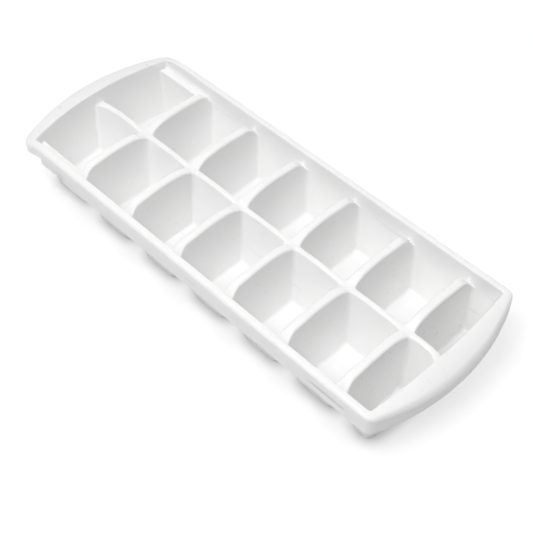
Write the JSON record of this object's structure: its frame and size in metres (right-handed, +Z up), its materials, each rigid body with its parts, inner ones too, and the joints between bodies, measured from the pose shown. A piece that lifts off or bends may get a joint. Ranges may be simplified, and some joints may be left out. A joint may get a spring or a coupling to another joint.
{
  "type": "ice cube tray",
  "caption": "Moulded twist-release ice cube tray with two rows of tapered cells, arched dividers, a hanging rim skirt and bowed end grips.",
  "frame": {"origin": "centre of the tray's outline in plan, on the surface it stands on, under the cup floors", "axes": "+X along the tray towards the end with the short cells, +Y across it towards the back row, +Z up out of the cells"},
  "size_m": [0.2651, 0.099, 0.0345],
  "materials": {
    "tray_plastic": "glossy white polypropylene"
  },
  "bodies": {
    "root": {"cross_ridge_back_1": "tray_plastic", "cross_ridge_back_2": "tray_plastic", "cross_ridge_back_3": "tray_plastic", "cross_ridge_back_4": "tray_plastic", "cross_ridge_back_5": "tray_plastic", "cross_ridge_back_6": "tray_plastic", "cross_ridge_front_1": "tray_plastic", "cross_ridge_front_2": "tray_plastic", "cross_ridge_front_3": "tray_plastic", "cross_ridge_front_4": "tray_plastic", "cross_ridge_front_5": "tray_plastic", "cross_ridge_front_6": "tray_plastic", "cup_back_1": "tray_plastic", "cup_back_2": "tray_plastic", "cup_back_3": "tray_plastic", "cup_back_4": "tray_plastic", "cup_back_5": "tray_plastic", "cup_back_6": "tray_plastic", "cup_back_7": "tray_plastic", "cup_front_1": "tray_plastic", "cup_front_2": "tray_plastic", "cup_front_3": "tray_plastic", "cup_front_4": "tray_plastic", "cup_front_5": "tray_plastic", "cup_front_6": "tray_plastic", "cup_front_7": "tray_plastic", "end_skirt_left": "tray_plastic", "end_skirt_right": "tray_plastic", "end_wall_left": "tray_plastic", "end_wall_right": "tray_plastic", "grip_left": "tray_plastic", "grip_right": "tray_plastic", "ledge_rib_back": "tray_plastic", "ledge_rib_front": "tray_plastic", "side_rail_back": "tray_plastic", "side_rail_front": "tray_plastic", "side_skirt_back": "tray_plastic", "side_skirt_front": "tray_plastic", "side_wall_back": "tray_plastic", "side_wall_front": "tray_plastic", "spine_ridge": "tray_plastic", "stacking_ledge_back": "tray_plastic", "stacking_ledge_front": "tray_plastic"}
  },
  "joints": []
}
